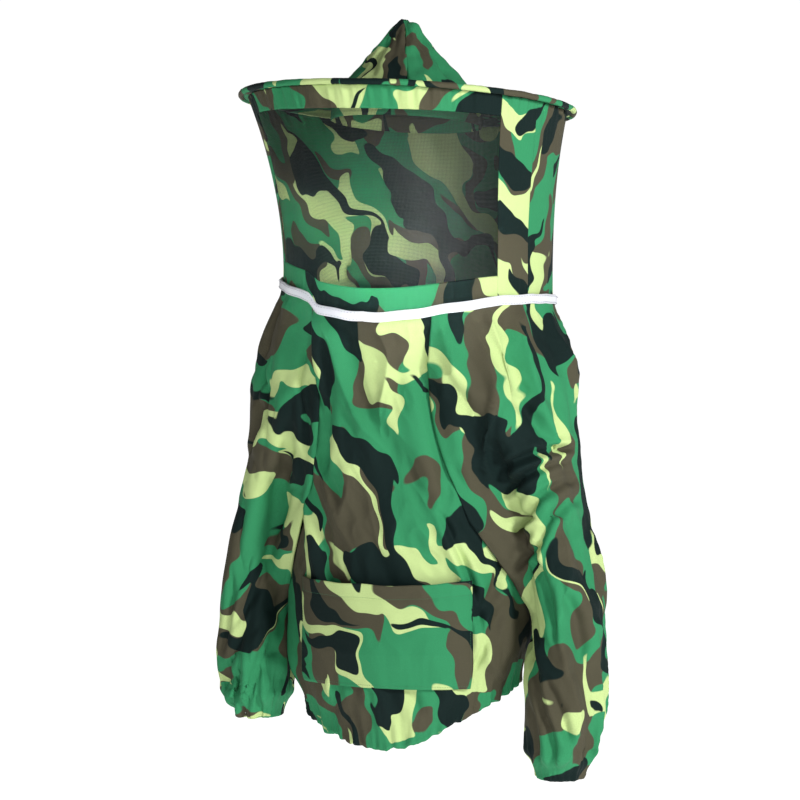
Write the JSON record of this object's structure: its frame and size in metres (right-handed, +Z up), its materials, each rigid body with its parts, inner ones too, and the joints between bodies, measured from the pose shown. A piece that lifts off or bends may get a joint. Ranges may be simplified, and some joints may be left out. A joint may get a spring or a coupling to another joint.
{
  "type": "beekeeping jacket",
  "caption": "Pullover beekeeping smock with a round sprung-brim hat, see-through veil, long elastic-cuffed sleeves, elastic hem and a front patch pocket.",
  "frame": {"origin": "centre of the ring where the veil is sewn to the jacket, between the wearer's shoulders", "axes": "+Z up towards the crown of the hat, -Y the way the wearer faces, +X the wearer's left"},
  "size_m": [0.5151, 0.423, 0.9468],
  "materials": {
    "camo_cloth": "matt printed cotton twill, green, brown, lime and dark blue-black woodland shapes",
    "camo_cloth_folded": "the same printed cotton, folded or gathered",
    "black_netting": "fine black knitted netting that is seen through",
    "white_tape": "woven white tape, folded and stitched, slight sheen",
    "elastic_webbing": "white knitted elastic",
    "spring_steel": "drawn spring wire"
  },
  "bodies": {
    "jacket": {"neck_tape": "white_tape", "veil_top_strip": "camo_cloth", "veil_left_strip": "camo_cloth", "veil_right_strip": "camo_cloth", "veil_bottom_strip": "camo_cloth", "veil_mesh": "black_netting", "veil_back": "camo_cloth", "front_panel": "camo_cloth", "back_panel": "camo_cloth", "left_shoulder": "camo_cloth", "right_shoulder": "camo_cloth", "hem_casing": "camo_cloth_folded", "hem_elastic": "elastic_webbing", "pocket": "camo_cloth", "pocket_hem": "camo_cloth_folded"},
    "hat": {"crown_front_left": "camo_cloth", "crown_back_left": "camo_cloth", "crown_back_right": "camo_cloth", "crown_front_right": "camo_cloth", "crown_tip": "camo_cloth", "brim_top": "camo_cloth", "brim_underside": "camo_cloth", "brim_hoop": "spring_steel", "brim_binding": "camo_cloth_folded", "sweatband": "camo_cloth_folded"},
    "sleeve_left": {"left_sleeve": "camo_cloth", "left_cuff_casing": "camo_cloth_folded", "left_cuff_elastic": "elastic_webbing"},
    "sleeve_right": {"right_sleeve": "camo_cloth", "right_cuff_casing": "camo_cloth_folded", "right_cuff_elastic": "elastic_webbing"}
  },
  "joints": [
    {"name": "hat_turn", "type": "hinge", "parent": "jacket", "child": "hat", "pos_m": [-0.006, 0, 0.245], "axis": [0.0576, 0, 0.9983], "range_deg": [-25, 25]},
    {"name": "left_sleeve_raise", "type": "hinge", "parent": "jacket", "child": "sleeve_left", "pos_m": [0.213, 0, -0.124], "axis": [0, -1, 0], "range_deg": [0, 65]},
    {"name": "right_sleeve_raise", "type": "hinge", "parent": "jacket", "child": "sleeve_right", "pos_m": [-0.213, 0, -0.124], "axis": [0, 1, 0], "range_deg": [0, 65]}
  ]
}
